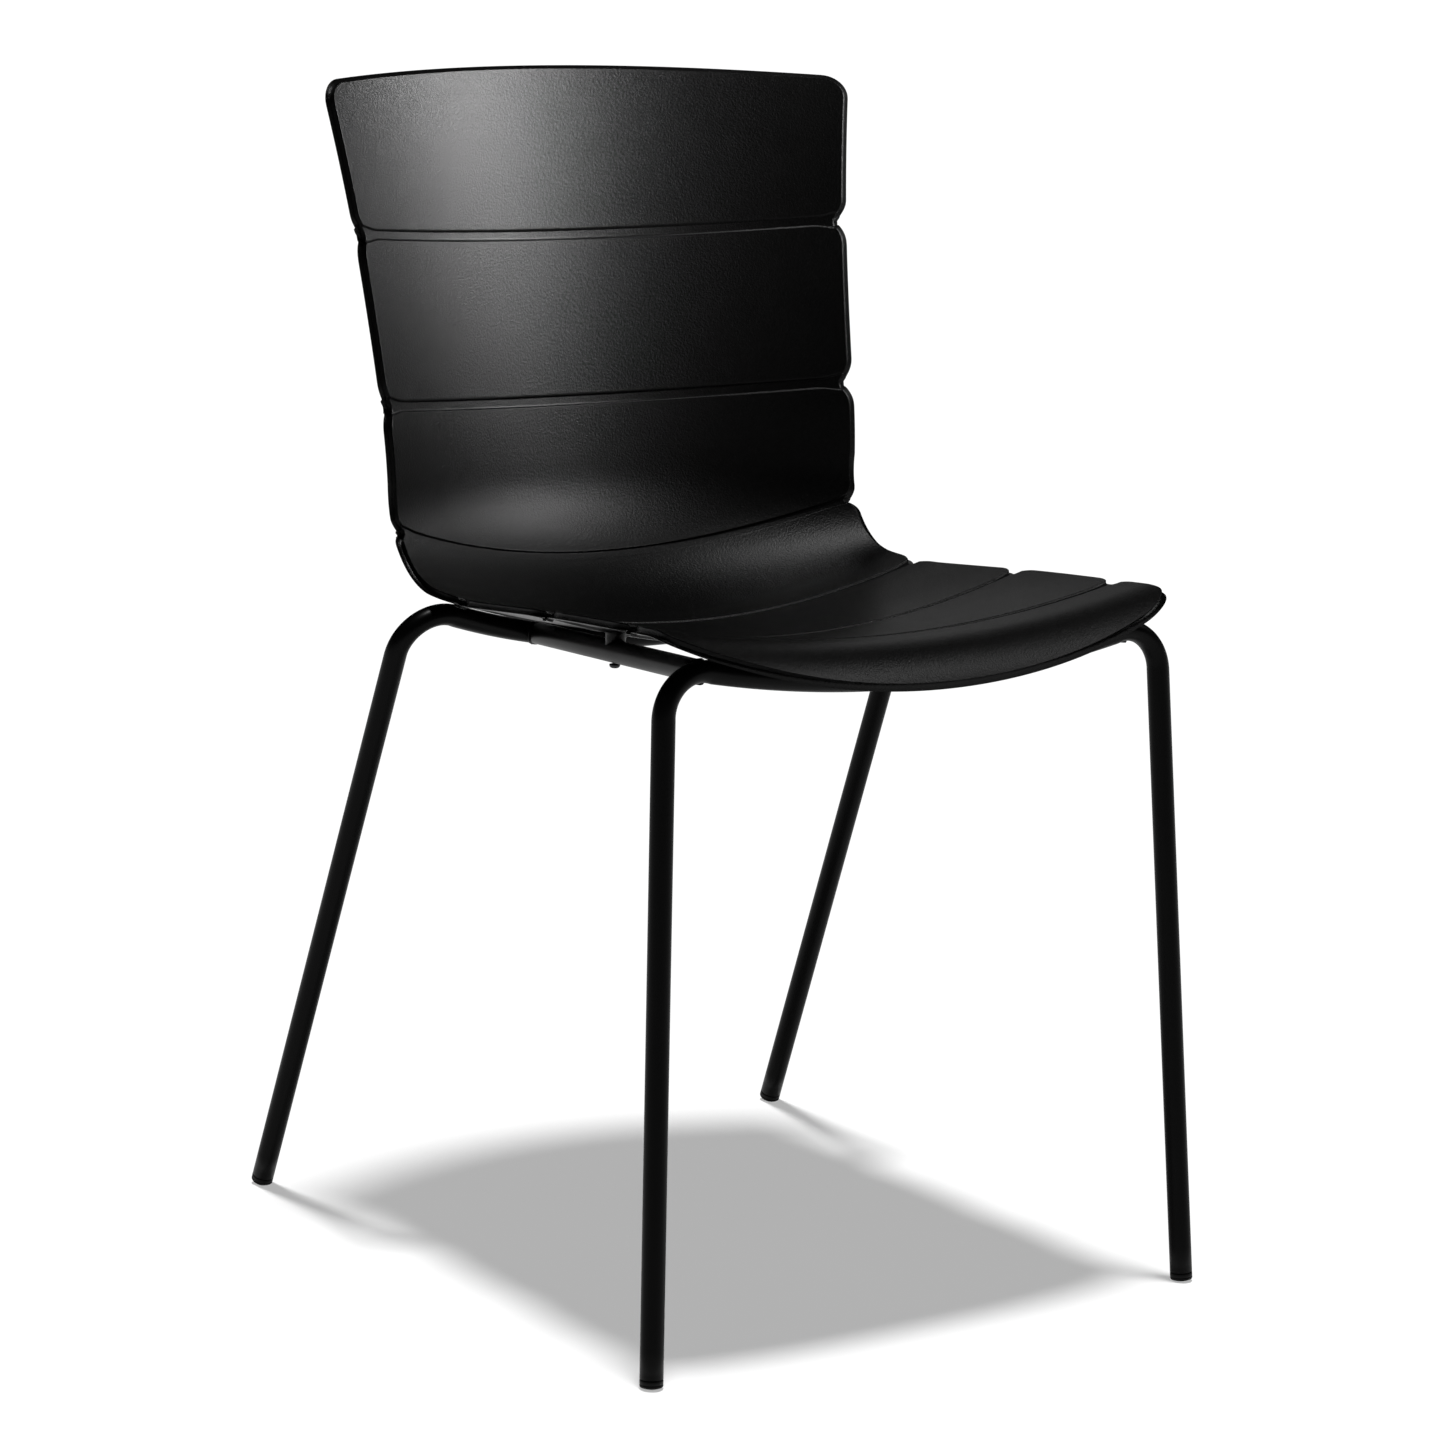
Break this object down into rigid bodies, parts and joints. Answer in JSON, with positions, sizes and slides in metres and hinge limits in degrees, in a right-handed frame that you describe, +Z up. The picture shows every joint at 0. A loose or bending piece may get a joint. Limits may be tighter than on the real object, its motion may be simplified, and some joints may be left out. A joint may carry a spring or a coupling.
{
  "type": "stacking chair",
  "caption": "Armless stacking chair: one-piece dished shell with recessed cross grooves on a bent round-tube frame with plug glides.",
  "frame": {"origin": "on the floor, midway between the left and right feet and close to midway between the front and rear feet", "axes": "+Z up, -Y towards the front of the chair, +X to the right seen from the front"},
  "size_m": [0.4844, 0.5317, 0.829],
  "materials": {
    "shell_plastic": "black moulded polypropylene with a fine grain",
    "powder_coat": "satin black powder coat on steel tube",
    "glide_plastic": "black nylon",
    "screw_steel": "black zinc plated steel",
    "insert_brass": "plain turned brass"
  },
  "bodies": {
    "root": {"seat_shell": "shell_plastic", "front_leg_frame": "powder_coat", "rear_leg_frame": "powder_coat", "left_side_rail": "powder_coat", "right_side_rail": "powder_coat", "front_left_glide": "glide_plastic", "front_right_glide": "glide_plastic", "rear_left_glide": "glide_plastic", "rear_right_glide": "glide_plastic", "front_left_screw": "screw_steel", "front_right_screw": "screw_steel", "rear_left_screw": "screw_steel", "rear_right_screw": "screw_steel", "front_left_insert": "insert_brass", "front_right_insert": "insert_brass", "rear_left_insert": "insert_brass", "rear_right_insert": "insert_brass"}
  },
  "joints": []
}
